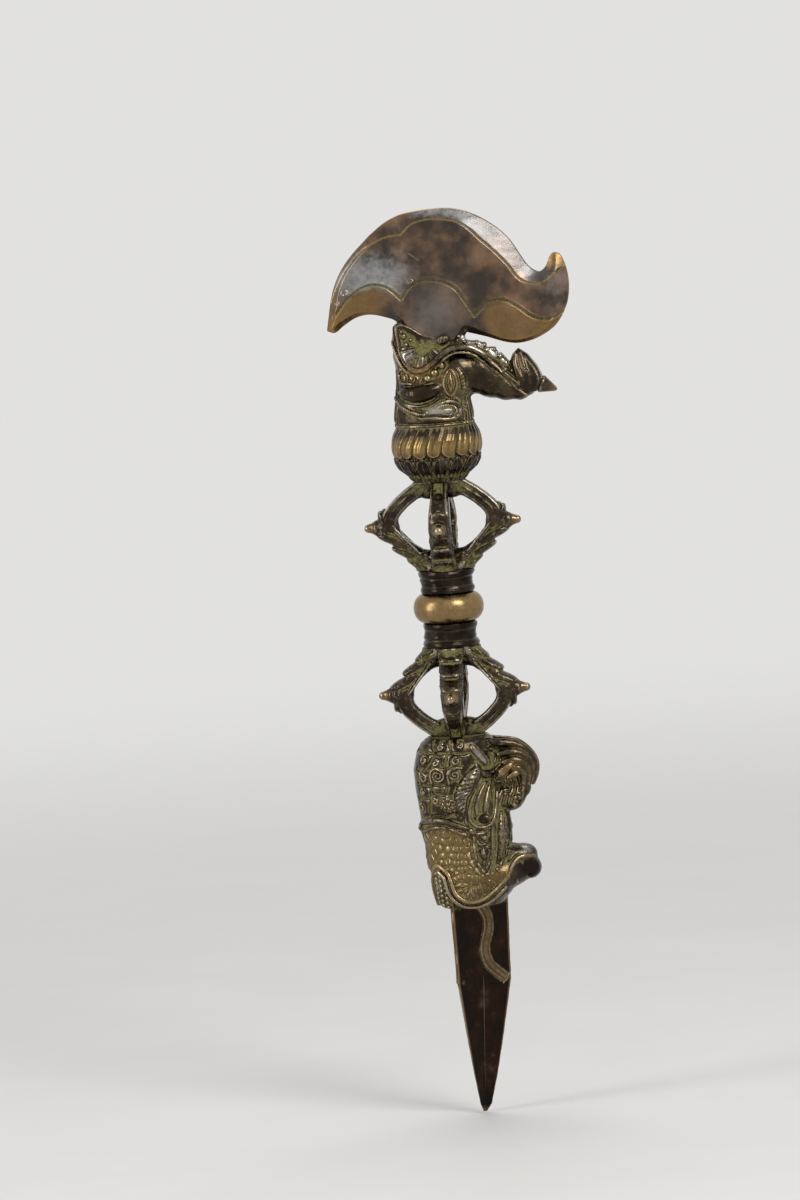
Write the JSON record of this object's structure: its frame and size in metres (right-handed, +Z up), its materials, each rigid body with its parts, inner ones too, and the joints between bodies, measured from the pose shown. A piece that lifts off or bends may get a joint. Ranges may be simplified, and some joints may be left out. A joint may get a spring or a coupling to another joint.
{
  "type": "phurba",
  "caption": "Ritual dagger: a crescent blade rises from a makara head over a vajra grip with open cages and a round knob, and a triangular blade issues from a makara head below.",
  "frame": {"origin": "middle of the grip knob, on the axis of the core rod", "axes": "+Z up along the rod to the crescent, so the blade points down, +X towards the heads' snouts, -Y the front"},
  "size_m": [0.0778, 0.05, 0.2895],
  "materials": {
    "russet_bronze": "smooth, mottled red-brown and grey patina",
    "head_bronze": "dark glossy patina with yellow-green verdigris in the hollows",
    "prong_bronze": "dark patina, rubbed on the ridges",
    "dark_bronze": "dark glossy patina",
    "golden_brass": "worn, golden on the high points",
    "polished_brass": "polished by handling"
  },
  "bodies": {
    "root": {"crescent_blade": "russet_bronze", "upper_head": "head_bronze", "snout_jewel": "golden_brass", "petal_collar": "golden_brass", "leaf_collar": "dark_bronze", "upper_prong_front": "prong_bronze", "upper_prong_right": "prong_bronze", "upper_prong_back": "prong_bronze", "upper_prong_left": "prong_bronze", "upper_neck": "dark_bronze", "grip_knob": "polished_brass", "lower_neck": "dark_bronze", "lower_prong_front": "prong_bronze", "lower_prong_right": "prong_bronze", "lower_prong_back": "prong_bronze", "lower_prong_left": "prong_bronze", "lower_head": "head_bronze", "three_edged_blade": "russet_bronze", "front_serpent": "golden_brass", "right_serpent": "golden_brass", "left_serpent": "golden_brass", "core_rod": "dark_bronze"}
  },
  "joints": []
}
